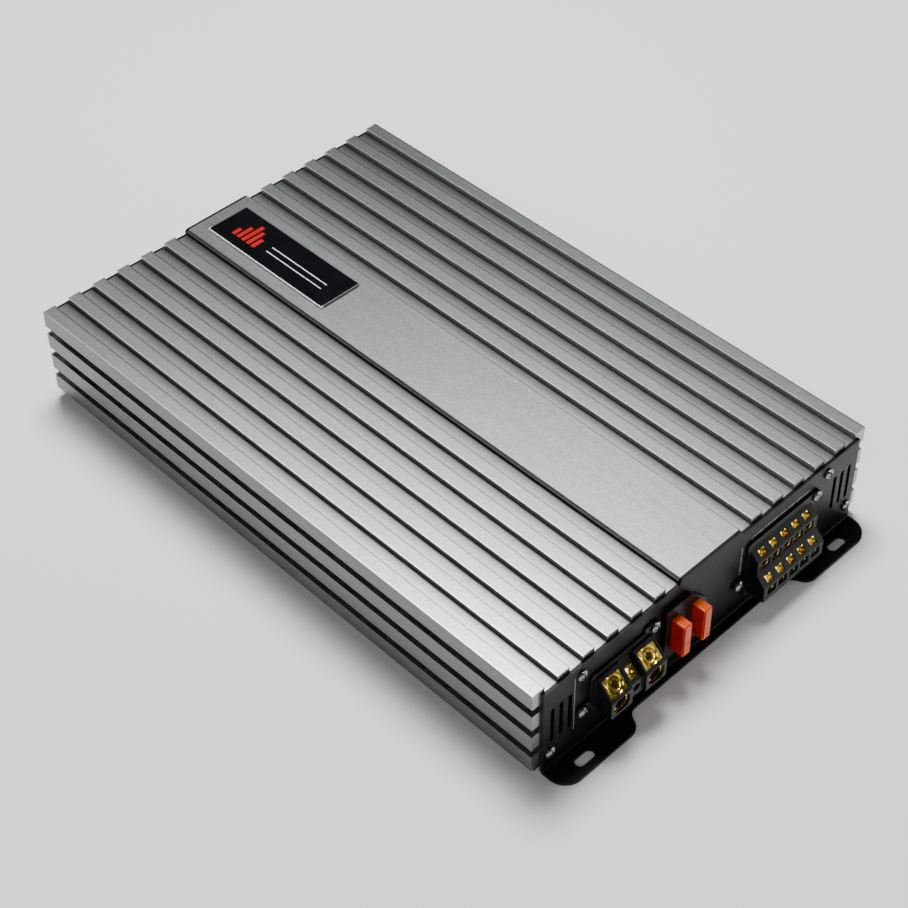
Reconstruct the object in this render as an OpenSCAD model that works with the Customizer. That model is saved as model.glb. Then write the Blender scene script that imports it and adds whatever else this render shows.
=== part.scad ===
// Car audio amplifier: a ribbed aluminium heatsink closed by a bottom plate and two folded steel
// end plates. Power, fuses and speakers connect at the +X end, signal inputs and controls at -X.
// Z is 0 on the undersides of the feet, and +Z is up through the ribbed top.

/* [Heatsink] */
// Length of the aluminium extrusion
body_l = 326; // [318:1:336]
// Width over the side fins
body_w = 215; // [213:1:218]
// Height of the extrusion from its underside to the rib tops
body_h = 49; // [48.5:0.1:50]
// Depth of the valleys between the top ribs
rib_h = 2.8; // [2.4:0.1:3]
// Width of one top rib
rib_w = 7; // [6:0.1:8]
// Ribs on each side of the centre panel
rib_count = 6; // [5:1:7]
// Width of the smooth centre panel
panel_w = 40.6; // [38:0.2:44]
// Bevel along the centre panel's two long edges
panel_bevel = 1.2; // [0.6:0.1:1.6]
// Height of one side fin
fin_h = 8.9; // [8.4:0.1:9.4]
// Depth of the grooves between the side fins
groove_d = 5; // [4.5:0.1:5]
// Thickness of the roof under the valleys
roof_t = 4; // [3.6:0.1:4]
// Thickness of the side walls behind the grooves
wall_t = 3.5; // [3.2:0.1:3.5]

/* [Plates] */
// Thickness of the folded end plates
plate_t = 1.6; // [1.5:0.1:1.6]
// Thickness of the bottom plate
bottom_t = 1.2; // [1:0.1:1.6]
// How far the lip between the feet stands out from the plate
lip_reach = 4.4; // [4:0.1:5]
// How far the feet stand out from the plate
foot_reach = 13.4; // [12.2:0.1:14]
// Radius of a foot's outer corner
foot_corner_r = 9.5; // [6:0.5:10]
// Distance from the centre line to a mounting slot's middle
slot_y = 84.7; // [80:0.5:88]
// Length of a mounting slot, end to end
slot_l = 10.6; // [9:0.1:14]
// Width of a mounting slot
slot_w = 4.8; // [4.5:0.1:6]
// Gap under the extrusion that lets air in below
base_z = 5.8; // [5:0.1:7]

/* [Power terminals] */
// Middle of the power terminal block
power_y = -55.9; // [-57:0.1:-55]
// Distance between the two large power terminals
power_pitch = 21.2; // [21:0.1:22]
// Width of a large brass contact
power_contact_w = 11; // [10.6:0.1:11]
// Radius of the cable bore in a large contact
cable_r = 3.3; // [2.8:0.1:3.3]

/* [Fuses] */
// Middle of the pair of fuses
fuse_y = -18.1; // [-19:0.05:-18]
// Distance between the fuses
fuse_pitch = 13; // [12:0.1:13.2]
// Height of the fuses' centre line
fuse_z = 27.9; // [27:0.1:29]
// How far a seated fuse stands out from its holder
fuse_reach = 7.1; // [6:0.1:8]

/* [Speaker terminals] */
// Middle of the speaker terminal block
speaker_y = 47.5; // [46:0.1:49]
// Distance between neighbouring speaker terminals
speaker_pitch = 7.62; // [7.5:0.01:7.8]
// Terminals in each of the two rows
speaker_cols = 5; // [5:1:5]

/* [Controls] */
// Distance between neighbouring knobs
knob_pitch = 16; // [14:0.5:17]
// Radius of a knob's head
knob_r = 3.8; // [3:0.1:4.5]
// Travel of a slide switch, each way from its middle
switch_travel = 2.5; // [1.5:0.1:2.6]

/* [Badge] */
// Length of the badge along the centre panel
badge_l = 85; // [60:1:100]
// Width of the badge
badge_w = 25; // [18:0.5:30]
// Middle of the badge along X
badge_x = -113; // [-115:1:-80]
// Width of the bright rim around the badge's black face
badge_rim = 0.5; // [0.4:0.1:1.3]

/* [Hidden] */
$fn = 48;
eps = 0.01;
end_x = body_l / 2;                   // inner face of an end plate
face_x = end_x + plate_t;             // outer face of an end plate
foot_x = face_x + foot_reach;         // outer edge of a foot
lip_x = face_x + lip_reach;
foot_curve_r = 6.5;                   // both radii of a foot's S-curve
foot_start = 49.5;                    // where a foot starts to grow out of the lip
slot_inset = 6.1;                     // from a foot's outer edge to the middle of its slot
slot_x = foot_x - slot_inset;
fold_r = 0.8;                         // inner radius of the end plates' fold
top_z = base_z + body_h;
valley_z = top_z - rib_h;
roof_z = valley_z - roof_t;
groove_y = body_w / 2 - groove_d;
wall_y = groove_y - wall_t;           // inner face of a side wall
plate_w = 2 * groove_y;
rib_pitch = (body_w - panel_w) / 2 / rib_count;
fin_pitch = (body_h - fin_h) / 3;
fin_gap = fin_pitch - fin_h;

// Screws: M3 self-tapping pan heads, in bosses that run the length of the extrusion
pilot_r = 1.35;
shank_r = 1.3;
clear_r = 1.7;
head_r = 2.8;
head_h = 2;
boss_r = 3.5;
top_boss = [80.2, 45.8];
low_boss = [98.3, 11.9];
bottom_screw_x = [-140, -48, 48, 140];
bottom_screw_y = groove_y + 0.4;
clamp_screw_z = base_z + fin_pitch + fin_h / 2;
clamp_screw_x = [-112, -70, -28, 28, 70, 112];

// Vent slots in both end plates
vent_y = [86.7, 91.9, 97.1];
vent_z = 28.6;
vent_h = 21;
vent_w = 2.2;
bottom_vent = [2.5, 50.5];
bottom_vent_pitch = 7;

// Circuit board
board_t = 1.6;
standoff_h = 6;
board_z = base_z + standoff_h;        // underside of the board
board_top = board_z + board_t;
board_l = 316;
board_w = 188;
standoff_at = [[-145, -80], [-145, 80], [0, -80], [0, 80], [145, -80], [145, 80], [0, 0]];

// Terminal blocks: x is measured outwards from the end plate's face. A sum is x + z along a
// 45 degree face.
flange_t = 1.2;
flange_margin = 2.5;
lug_r = 3.1;
lug_l = 6;
screw_fit = 0.05;                     // radial clearance of a terminal screw in its contact
contact_back = -4;
post_x = -3.7;                        // solder posts under the contacts
post = [1.5, 5];
remote_post = [1.2, 2];

// Power terminal block
power_back = -6;
power_low = 19.3;
power_top = 38.1;
power_step = [1.1, 1.6];              // ledge between the towers, behind the remote terminal
tower_w = 13;
tower_x = 10.9;
tower_sum = 40.1;
contact_x = 9.9;
contact_low = 20.4;
contact_sum = 39.5;
contact_top = 36.7;
cable_z = 24.7;
cable_entry = [8, 9.4];
cable_entry_r = 3.4;
power_screw_r = 3.5;
power_screw_l = 3;
power_sink_r = 4.4;
window = [8.6, 10.4];                 // opening over a large contact: along the slope, and along Y
remote_x = 9.2;
remote_sum = 37.6;
remote_contact_w = 5;
remote_contact_x = 7.9;
remote_contact_low = 21.8;
remote_contact_sum = 37;
remote_contact_top = 33.7;
remote_wire_z = 24.4;
remote_wire_r = 1.6;
remote_entry_r = 1.9;
remote_screw_r = 1.55;
remote_window = [6, 4.6];
power_fix = [[-80.5, 23.5], [-36.6, 40.3]];

// Speaker terminal block: values are for the lower row, then for the upper row
speaker_w = 2 * 20.8;
speaker_low = 10.4;
speaker_flange = [8.5, 42];           // lower and upper edge of its flange
speaker_back = -9;
speaker_front = [10.5, 5.5];
speaker_sum = [29.7, 37.7];
speaker_contact_back = -6;
speaker_contact_x = [9.5, 4.9];
speaker_contact_sum = [29.2, 37.2];
speaker_contact_low = [13.5, 25.6];
speaker_contact_top = [22.4, 35.7];
speaker_wire_z = [15.7, 28.4];
speaker_contact_w = 5;
speaker_window = [3.6, 4.2];
speaker_entry = [4.6, 5.8];
speaker_wire_r = 1.8;
speaker_screw_r = 1.67;
speaker_fix = [[19.5, 20.5], [71.5, 39]];

// Fuse holder and blade fuses
holder_x = 2.7;
holder_back = -11;
holder_w = 24;
holder_h = 22.5;
holder_low = 13.4;
holder_top = 44.3;
holder_side = [-30.8, -4.5];
holder_slant = 10.5;
fuse_body = [12, 5.1, 19.1];
fuse_front = holder_x + fuse_reach;
fuse_back = fuse_front - fuse_body[0];
blade_l = 7;
blade_w = 5.2;
blade_t = 0.65;
blade_z = 7;

// Signal end
knob_z = 28.5;
knob_len = 6;
knob_stem_r = 1.5;
bushing_r = 3;
knob_y = [for (i = [0:3]) 12 - knob_pitch * i];
rca_at = [[48, 20], [48, 38], [66, 20], [66, 38]];
rca_shell_r = 4.15;
rca_reach = 9.5;
switch_y = [30, -54];
switch_slot = [10.4, 4.6];
lens_at = [[-70, 24], [-70, 33]];
lens_r = 1.5;

SPEAKER_SCREWS = [for (i = [1:2 * speaker_cols]) str("speaker_screw_", i)];
KNOBS = ["front_gain_knob", "rear_gain_knob", "high_pass_knob", "low_pass_knob"];
SLIDERS = ["front_mode_slider", "rear_mode_slider"];

// ---------- helpers ----------

// Points of an arc round a centre, from one angle to another
function arc(centre, r, from, to, steps = 10) =
    [for (i = [0:steps]) let (a = from + (to - from) * i / steps) centre + r * [cos(a), sin(a)]];

// Extrudes an outline drawn in Y and Z along +X
module along_x(x0, length) {
    translate([x0, 0, 0]) rotate([90, 0, 90]) linear_extrude(length) children();
}

// Extrudes an outline drawn in X and Z along Y, centred on y0
module along_y(y0, length) {
    translate([0, y0 + length / 2, 0]) rotate([90, 0, 0]) linear_extrude(length) children();
}

// Puts children at a point of the terminal end, with x measured out from the plate's face
module at_terminal(x, y, z) {
    translate([face_x + x, y, z]) children();
}

// Turns children so that their +Z axis leans out at 45 degrees, square to a sloped face
module on_slope(x, y, z) {
    at_terminal(x, y, z) rotate([0, 45, 0]) children();
}

module both_sides() {
    children();
    mirror([0, 1, 0]) children();
}

module both_ends() {
    children();
    mirror([1, 0, 0]) children();
}

// Pan-head screw along +Z: the head sits on z = 0 and the shank goes down
module pan_screw(shank_l, r = shank_r, hr = head_r, hh = head_h) {
    difference() {
        union() {
            intersection() {
                cylinder(r = hr, h = hh);
                translate([0, 0, hh - 1.5 * hr]) sphere(r = 1.5 * hr);
            }
            translate([0, 0, -shank_l]) cylinder(r = r, h = shank_l + eps);
        }
        for (turn = [0, 90]) rotate([0, 0, turn])
            translate([-0.6 * hr, -0.14 * hr, 0.45 * hh]) cube([1.2 * hr, 0.28 * hr, hh]);
    }
}

// Grub screw blank along +Z with its chamfered top on z = 0
module grub_blank(r, length) {
    edge = 0.12 * r;
    rotate_extrude() polygon([[0, -length], [r - edge, -length], [r, edge - length], [r, -edge],
                              [r - edge, 0], [0, 0]]);
}

module slotted_grub(r, length, slot_wide) {
    difference() {
        grub_blank(r, length);
        translate([-r - 1, -slot_wide / 2, -0.9]) cube([2 * r + 2, slot_wide, 2]);
    }
}

module socket_grub(r, length) {
    difference() {
        grub_blank(r, length);
        translate([0, 0, -2]) cylinder(r = 0.56 * r, h = 3, $fn = 6);
    }
}

module rounded_square(size, r) {
    for (x = [-1, 1], y = [-1, 1])
        translate([x * (size[0] / 2 - r), y * (size[1] / 2 - r)]) circle(r);
    square([size[0] - 2 * r, size[1]], center = true);
    square([size[0], size[1] - 2 * r], center = true);
}

// ---------- heatsink ----------

module heatsink_profile() {
    difference() {
        union() {
            difference() {
                translate([-body_w / 2, base_z]) square([body_w, body_h]);
                translate([-wall_y, base_z - 1]) square([2 * wall_y, roof_z - base_z + 1]);
            }
            both_sides_2d() {
                translate(top_boss) circle(boss_r);
                translate(low_boss) circle(boss_r);
            }
        }
        both_sides_2d() {
            for (i = [0:rib_count - 1])
                translate([body_w / 2 - (i + 1) * rib_pitch, valley_z])
                    square([rib_pitch - rib_w, rib_h + 1]);
            for (j = [0:2])
                translate([groove_y, base_z + fin_h + j * fin_pitch]) square([groove_d + 1, fin_gap]);
            translate([panel_w / 2, top_z])
                polygon([[-panel_bevel, 1], [-panel_bevel, 0], [0, -panel_bevel], [1, -panel_bevel], [1, 1]]);
            translate(top_boss) circle(pilot_r);
            translate(low_boss) circle(pilot_r);
        }
    }
}

module both_sides_2d() {
    children();
    mirror([1, 0]) children();
}

module heatsink() {
    color("silver") difference() {
        along_x(-end_x, body_l) heatsink_profile();
        both_sides() {
            for (x = bottom_screw_x)
                translate([x, bottom_screw_y, base_z - 1]) cylinder(r = pilot_r, h = 9);
            for (x = clamp_screw_x)
                translate([x, wall_y - 1, clamp_screw_z]) rotate([-90, 0, 0]) cylinder(r = pilot_r, h = 8);
        }
    }
}

// ---------- plates ----------

module bottom_plate() {
    color("dimgray") difference() {
        translate([-end_x, -body_w / 2 + 1.5, base_z - bottom_t]) cube([body_l, body_w - 3, bottom_t]);
        both_sides() for (x = bottom_screw_x)
            translate([x, bottom_screw_y, 0]) cylinder(r = clear_r, h = 2 * base_z);
        for (x = [-60, 60], i = [-5:5])
            translate([x + i * bottom_vent_pitch, 0, base_z - bottom_t - 1])
                linear_extrude(bottom_t + 2) rounded_square(bottom_vent, bottom_vent[0] / 2 - eps);
    }
}

// Upright sheet of an end plate, drawn in Y and Z, with the raised tab that closes the centre panel
module plate_outline() {
    difference() {
        union() {
            translate([-plate_w / 2, 0]) square([plate_w, valley_z - 0.2]);
            polygon([[-panel_w / 2, valley_z - 1], [panel_w / 2, valley_z - 1],
                     [panel_w / 2, top_z - panel_bevel - 0.3], [panel_w / 2 - panel_bevel, top_z - 0.3],
                     [-panel_w / 2 + panel_bevel, top_z - 0.3], [-panel_w / 2, top_z - panel_bevel - 0.3]]);
        }
        both_sides_2d() {
            translate(top_boss) circle(clear_r);
            translate(low_boss) circle(clear_r);
            for (y = vent_y) translate([y, vent_z]) rounded_square([vent_w, vent_h], 1.05);
        }
        children();
    }
}

// Folded flange with its two feet, drawn in X and Y; each foot grows out of the lip in an S-curve
module flange_outline() {
    swell = [lip_x + foot_curve_r, foot_start];
    across = lip_x - foot_x + 2 * foot_curve_r;
    along = sqrt(pow(2 * foot_curve_r, 2) - pow(across, 2));
    shoulder = swell + [-across, along];
    turn = atan2(along, -across);
    corner = [foot_x - foot_corner_r, groove_y - foot_corner_r];
    half = concat(arc(swell, foot_curve_r, 180, turn), arc(shoulder, foot_curve_r, turn - 180, 0),
                  arc(corner, foot_corner_r, 0, 90), [[end_x, groove_y]]);
    difference() {
        polygon(concat(half, [for (i = [len(half) - 1:-1:0]) [half[i][0], -half[i][1]]]));
        both_feet_2d() translate([slot_x, slot_y]) rounded_square([slot_w, slot_l], slot_w / 2 - eps);
    }
}

module both_feet_2d() {
    children();
    mirror([0, 1]) children();
}

// One folded end plate at +X: upright sheet, 90 degree fold and flange; children cut its openings
module end_plate() {
    outer_r = plate_t + fold_r;
    difference() {
        union() {
            along_x(end_x, plate_t) plate_outline() children();
            linear_extrude(plate_t) flange_outline();
            along_y(0, plate_w) difference() {
                translate([face_x - eps, plate_t - eps]) square(fold_r);
                translate([face_x + fold_r, plate_t + fold_r]) circle(fold_r);
            }
        }
        along_y(0, plate_w + 2) difference() {
            translate([end_x - 1, -1]) square(outer_r + 1);
            translate([end_x + outer_r, outer_r]) circle(outer_r);
        }
    }
}

module terminal_end_plate() {
    color([0.08, 0.08, 0.09]) end_plate() {
        translate([power_y, (power_low + power_top) / 2])
            square([power_pitch + tower_w + 0.2, power_top - power_low + 0.2], center = true);
        translate([speaker_y, (speaker_low + speaker_sum[1]) / 2])
            square([speaker_w + 0.2, speaker_sum[1] - speaker_low + 0.2], center = true);
        translate([fuse_y, fuse_z]) square([holder_w + 0.2, holder_h + 0.2], center = true);
        for (p = concat(power_fix, speaker_fix)) translate(p) circle(clear_r);
    }
}

module control_end_plate() {
    color([0.08, 0.08, 0.09]) mirror([1, 0, 0]) end_plate() {
        for (p = rca_at) translate(p) circle(rca_shell_r + 1.4);
        for (y = knob_y) translate([y, knob_z]) circle(bushing_r + 0.2);
        for (y = switch_y) translate([y, knob_z]) square(switch_slot, center = true);
        for (p = lens_at) translate(p) circle(lens_r + 0.1);
    }
}

module end_plate_screws() {
    color("silver") both_ends() both_sides() for (p = [top_boss, low_boss])
        translate([face_x, p[0], p[1]]) rotate([0, 90, 0]) pan_screw(9);
}

module bottom_plate_screws() {
    color("silver") both_sides() for (x = bottom_screw_x)
        translate([x, bottom_screw_y, base_z - bottom_t]) rotate([180, 0, 0]) pan_screw(8);
}

// ---------- badge ----------

badge_t = 1.3;
badge_seat = 0.3;                     // floor of the badge's tray
badge_face_t = 0.8;

module badge_pocket(height) {
    translate([0, 0, badge_seat]) linear_extrude(height)
        rounded_square([badge_l - 2 * badge_rim, badge_w - 2 * badge_rim], 0.4);
}

module badge_frame() {
    color("gainsboro") translate([badge_x, 0, top_z]) difference() {
        linear_extrude(badge_t) rounded_square([badge_l, badge_w], 0.8);
        badge_pocket(badge_t);
    }
}

module badge_face() {
    color("black") translate([badge_x, 0, top_z]) badge_pocket(badge_face_t);
}

// ---------- circuit board and what it carries ----------

module circuit_board() {
    color("darkgreen") difference() {
        translate([-board_l / 2, -board_w / 2, board_z]) cube([board_l, board_w, board_t]);
        for (p = standoff_at) translate([p[0], p[1], board_z - 1]) cylinder(r = 1.6, h = board_t + 2);
    }
}

module board_standoffs() {
    color("goldenrod") for (p = standoff_at) translate([p[0], p[1], base_z]) difference() {
        cylinder(r = 3.2, h = standoff_h, $fn = 6);
        translate([0, 0, 0.8]) cylinder(r = pilot_r, h = standoff_h);
    }
}

module board_screws() {
    color("silver") for (p = standoff_at) translate([p[0], p[1], board_top]) pan_screw(5.5);
}

toroid_at = [96, -38];
toroid_out_r = 24;
toroid_in_r = 12;
toroid_h = 18;
wire_d = 1.6;

module toroid_core() {
    color([0.35, 0.36, 0.3]) translate([toroid_at[0], toroid_at[1], board_top + wire_d + 0.3])
        rotate_extrude() translate([toroid_in_r, 0]) square([toroid_out_r - toroid_in_r, toroid_h]);
}

module toroid_winding() {
    turns = 30;
    inner = [toroid_out_r - toroid_in_r + 0.2, toroid_h + 0.2];
    color("peru") translate([toroid_at[0], toroid_at[1], board_top + wire_d + 0.3 + toroid_h / 2])
        for (i = [0:turns - 1]) rotate([0, 0, i * 360 / turns])
            translate([(toroid_out_r + toroid_in_r) / 2, 0, 0]) difference() {
                cube([inner[0] + 2 * wire_d, wire_d, inner[1] + 2 * wire_d], center = true);
                cube([inner[0], wire_d + 1, inner[1]], center = true);
            }
}

module capacitor(r, h) {
    rotate_extrude() polygon([[0, 0], [r, 0], [r, 2.2], [r - 0.6, 2.8], [r - 0.6, 3.4], [r, 4],
                              [r, h], [r - 0.8, h], [r - 1, h - 0.5], [0, h - 0.5]]);
}

module filter_capacitors() {
    color("midnightblue") translate([0, 0, board_top]) {
        for (i = [0:3]) translate([52 - 19 * i, -52, 0]) capacitor(8, 30);
        for (i = [0:3]) translate([52 - 19 * i, -32, 0]) capacitor(8, 30);
        for (i = [0:3]) translate([-60 - 14 * i, 30, 0]) capacitor(5, 20);
        for (x = [118, 132]) translate([x, -12, 0]) capacitor(6.3, 26);
    }
}

inductor_at = [[104, 34], [104, 58], [70, 34], [70, 58]];

module inductor_cores() {
    color([0.2, 0.2, 0.22]) for (p = inductor_at) translate([p[0], p[1], board_top]) {
        cylinder(r = 9, h = 2);
        translate([0, 0, 2 - eps]) cylinder(r = 5, h = 14 + 2 * eps);
        translate([0, 0, 16]) cylinder(r = 9, h = 2);
    }
}

module inductor_windings() {
    color("chocolate") for (p = inductor_at) translate([p[0], p[1], board_top + 2.1]) difference() {
        union() for (i = [0:7]) translate([0, 0, 1.7 * i]) rotate_extrude()
            translate([5.2, 0]) square([2.6, 1.6]);
        translate([0, 0, -1]) cylinder(r = 5.1, h = 20);
    }
}

transistor_x = [-126, -98, -84, -56, -42, -14, 14, 42, 56, 84, 98, 126];
transistor_z = 19.5;
pad_t = 0.3;
leg_bend_z = 17;
leg_set = 7;                          // from a tab's back to where its legs meet the board

// Power transistor with its metal tab against the +Y wall, and legs bent inwards to the board
module transistor() {
    tab_y = wall_y - pad_t;
    difference() {
        translate([-5.1, tab_y - 1.3, transistor_z]) cube([10.2, 1.3, 15.5]);
        translate([0, tab_y - 2, transistor_z + 12.5]) rotate([-90, 0, 0]) cylinder(r = 1.85, h = 4);
    }
    translate([-5.1, tab_y - 4.5, transistor_z]) cube([10.2, 3.4, 9.2]);
    for (x = [-2.54, 0, 2.54]) along_x(x - 0.4, 0.8)
        polygon([[tab_y - 2.7, transistor_z + 1], [tab_y - 3.2, transistor_z + 1],
                 [tab_y - 3.2, leg_bend_z], [tab_y - leg_set, leg_bend_z], [tab_y - leg_set, board_top],
                 [tab_y - leg_set + 0.5, board_top], [tab_y - leg_set + 0.5, leg_bend_z - 0.5],
                 [tab_y - 2.7, leg_bend_z - 0.5]]);
}

module power_transistors() {
    color([0.12, 0.12, 0.13]) both_sides() for (x = transistor_x) translate([x, 0, 0]) transistor();
}

module insulating_pads() {
    color("lightgray") both_sides() for (x = transistor_x)
        translate([x - 6, wall_y - pad_t, transistor_z - 1]) cube([12, pad_t, 17.5]);
}

clamp_h = 8;
clamp_y = wall_y - pad_t - 4.5;

module clamp_bars() {
    color("slategray") both_sides() difference() {
        translate([-134, clamp_y - 2.5, clamp_screw_z - clamp_h / 2]) cube([268, 2.5, clamp_h]);
        for (x = clamp_screw_x)
            translate([x, clamp_y - 4, clamp_screw_z]) rotate([-90, 0, 0]) cylinder(r = clear_r, h = 6);
    }
}

module clamp_bar_screws() {
    color("silver") both_sides() for (x = clamp_screw_x)
        translate([x, clamp_y - 2.5, clamp_screw_z]) rotate([90, 0, 0]) pan_screw(13);
}

// ---------- power terminals ----------

tower_offsets = [-power_pitch / 2, power_pitch / 2];

// Middle of a contact's 45 degree face: x and z
function face_middle(front, sum, top) = [(front + sum - top) / 2, (top + sum - front) / 2];
power_face = face_middle(contact_x, contact_sum, contact_top);
remote_face = face_middle(remote_contact_x, remote_contact_sum, remote_contact_top);

// A contact's side view in X and Z, with its front upper corner cut at 45 degrees
module contact_outline(back, front, low, sum, top) {
    polygon([[back, low], [front, low], [front, sum - front], [sum - top, top], [back, top]]);
}

module power_contact_outline() {
    contact_outline(contact_back, contact_x, contact_low, contact_sum, contact_top);
}

module remote_contact_outline() {
    contact_outline(contact_back, remote_contact_x, remote_contact_low, remote_contact_sum,
                    remote_contact_top);
}

// Solder post from the board up into a contact, drawn wider by grow where it needs a hole
module solder_post(y, size, low, grow = 0) {
    at_terminal(post_x - grow, y - size[1] / 2 - grow, board_top)
        cube([size[0] + 2 * grow, size[1] + 2 * grow, low - board_top + 1]);
}

// Opening square to a sloped face, cut down to the contact under it
module slope_window(size) {
    translate([-size[0] / 2, -size[1] / 2, -0.2]) cube([size[0], size[1], 3]);
}

// Ear of a flange for a fixing screw, in Y and Z, reaching towards the flange
module flange_lug(at, towards) {
    translate(at) circle(lug_r);
    translate([at[0] + (towards > 0 ? 0 : -lug_l), at[1] - lug_r]) square([lug_l, 2 * lug_r]);
}

module power_terminal_block() {
    half = power_pitch / 2 + tower_w / 2;
    step_z = power_top - power_step[1];
    color([0.05, 0.05, 0.05]) difference() {
        union() {
            translate([face_x, 0, 0]) along_y(power_y, 2 * half)
                polygon([[power_back, power_low], [remote_x, power_low], [remote_x, remote_sum - remote_x],
                         [remote_sum - step_z, step_z], [power_step[0], step_z],
                         [power_step[0], power_top], [power_back, power_top]]);
            for (dy = tower_offsets) translate([face_x, 0, 0]) along_y(power_y + dy, tower_w)
                polygon([[0, power_low], [tower_x, power_low], [tower_x, tower_sum - tower_x],
                         [tower_sum - power_top, power_top], [0, power_top]]);
            along_x(face_x, flange_t) difference() {
                union() {
                    translate([power_y, (power_low + power_top) / 2])
                        rounded_square([2 * (half + flange_margin),
                                        power_top - power_low + 2 * flange_margin], 2);
                    flange_lug(power_fix[0], 1);
                    flange_lug(power_fix[1], -1);
                }
                for (p = power_fix) translate(p) circle(clear_r);
            }
        }
        for (dy = tower_offsets) {
            translate([face_x, 0, 0]) along_y(power_y + dy, power_contact_w) power_contact_outline();
            on_slope(power_face[0], power_y + dy, power_face[1]) slope_window(window);
            at_terminal(contact_x - 0.5, power_y + dy, cable_z) rotate([0, 90, 0])
                linear_extrude(4) rounded_square(cable_entry, cable_entry_r);
            solder_post(power_y + dy, post, contact_low, 0.1);
        }
        translate([face_x, 0, 0]) along_y(power_y, remote_contact_w) remote_contact_outline();
        on_slope(remote_face[0], power_y, remote_face[1]) slope_window(remote_window);
        at_terminal(remote_contact_x - 1, power_y, remote_wire_z) rotate([0, 90, 0])
            cylinder(r = remote_entry_r, h = 4);
        solder_post(power_y, remote_post, remote_contact_low, 0.1);
    }
}

module power_contacts() {
    color("gold") {
        for (dy = tower_offsets) difference() {
            union() {
                translate([face_x, 0, 0]) along_y(power_y + dy, power_contact_w) power_contact_outline();
                solder_post(power_y + dy, post, contact_low);
            }
            at_terminal(contact_back + 1, power_y + dy, cable_z) rotate([0, 90, 0])
                cylinder(r = cable_r, h = 20);
            on_slope(power_face[0], power_y + dy, power_face[1]) {
                translate([0, 0, -10]) cylinder(r = power_screw_r + screw_fit, h = 12);
                translate([0, 0, -0.8]) cylinder(r1 = power_screw_r + screw_fit, r2 = power_sink_r, h = 0.9);
            }
        }
        difference() {
            union() {
                translate([face_x, 0, 0]) along_y(power_y, remote_contact_w) remote_contact_outline();
                solder_post(power_y, remote_post, remote_contact_low);
            }
            at_terminal(contact_back + 2, power_y, remote_wire_z) rotate([0, 90, 0])
                cylinder(r = remote_wire_r, h = 20);
            on_slope(remote_face[0], power_y, remote_face[1])
                translate([0, 0, -9]) cylinder(r = remote_screw_r + screw_fit, h = 12);
        }
    }
}

module power_screw(dy) {
    color("gold") on_slope(power_face[0], power_y + dy, power_face[1])
        translate([0, 0, -0.8]) socket_grub(power_screw_r, power_screw_l);
}

module battery_screw() {
    power_screw(tower_offsets[0]);
}

module ground_screw() {
    power_screw(tower_offsets[1]);
}

module remote_screw() {
    color("gold") on_slope(remote_face[0], power_y, remote_face[1])
        translate([0, 0, -0.7]) slotted_grub(remote_screw_r, 3.6, 0.6);
}

// ---------- fuses ----------

fuse_offsets = [-fuse_pitch / 2, fuse_pitch / 2];

module fuse_holder() {
    pocket = [fuse_body[1] + 0.4, fuse_body[2] + 0.4];
    color([0.05, 0.05, 0.05]) difference() {
        union() {
            along_x(face_x, holder_x)
                polygon([[holder_side[0], holder_low], [holder_side[1], holder_low],
                         [holder_side[1], holder_top - holder_slant],
                         [holder_side[1] - holder_slant, holder_top], [holder_side[0], holder_top]]);
            along_x(face_x + holder_back, -holder_back + eps) translate([fuse_y, fuse_z])
                square([holder_w, holder_h], center = true);
        }
        for (dy = fuse_offsets) {
            along_x(face_x + fuse_back - 0.2, 10) translate([fuse_y + dy, fuse_z])
                square(pocket, center = true);
            for (dz = [-blade_z, blade_z])
                along_x(face_x + holder_back - 1, 12) translate([fuse_y + dy, fuse_z + dz])
                    square([3.4, blade_w + 0.8], center = true);
        }
    }
}

module fuse_clips() {
    color("gold") for (dy = fuse_offsets, dz = [-blade_z, blade_z])
        along_y_clip(fuse_y + dy, fuse_z + dz);
}

// One clip: two springs either side of a blade, joined behind it
module along_y_clip(y, z) {
    grip = blade_t / 2 + 0.1;
    at_terminal(holder_back, y, z) {
        for (side = [-1, 1])
            translate([0, side > 0 ? grip : -grip - 0.6, -blade_w / 2]) cube([8, 0.6, blade_w]);
        translate([0, -grip - 0.6, -blade_w / 2]) cube([0.8, 2 * grip + 1.2, blade_w]);
    }
}

module fuse_body_at(dy) {
    color("orangered") at_terminal(fuse_back, fuse_y + dy, fuse_z) {
        translate([0, -2.1, -7.9]) cube([fuse_body[0] - 3, 4.2, 15.8]);
        translate([4, 0, 0]) rotate([0, 90, 0])
            linear_extrude(fuse_body[0] - 4.6) rounded_square([fuse_body[2], fuse_body[1]], 0.8);
        translate([4, 0, 0]) rotate([0, 90, 0])
            linear_extrude(fuse_body[0] - 4) rounded_square([fuse_body[2] - 1.2, fuse_body[1] - 1.2], 0.5);
    }
}

module fuse_blades_at(dy) {
    color("silver") for (dz = [-blade_z, blade_z])
        at_terminal(fuse_back - blade_l, fuse_y + dy - blade_t / 2, fuse_z + dz - blade_w / 2)
            cube([blade_l, blade_t, blade_w]);
}

// ---------- speaker terminals ----------

function speaker_col_y(col) = speaker_y + (col - (speaker_cols - 1) / 2) * speaker_pitch;

module speaker_outline() {
    polygon([[0, speaker_low], [speaker_front[0], speaker_low],
             [speaker_front[0], speaker_sum[0] - speaker_front[0]],
             [speaker_front[1], speaker_sum[0] - speaker_front[1]],
             [speaker_front[1], speaker_sum[1] - speaker_front[1]],
             [0, speaker_sum[1]], [speaker_back, speaker_sum[1]], [speaker_back, board_top],
             [0, board_top]]);
}

module speaker_contact_outline(row) {
    contact_outline(speaker_contact_back, speaker_contact_x[row], speaker_contact_low[row],
                    speaker_contact_sum[row], speaker_contact_top[row]);
}

// Puts children on the middle of one contact's sloped face
module on_speaker_slope(row, col) {
    middle = face_middle(speaker_contact_x[row], speaker_contact_sum[row], speaker_contact_top[row]);
    on_slope(middle[0], speaker_col_y(col), middle[1]) children();
}

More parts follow.
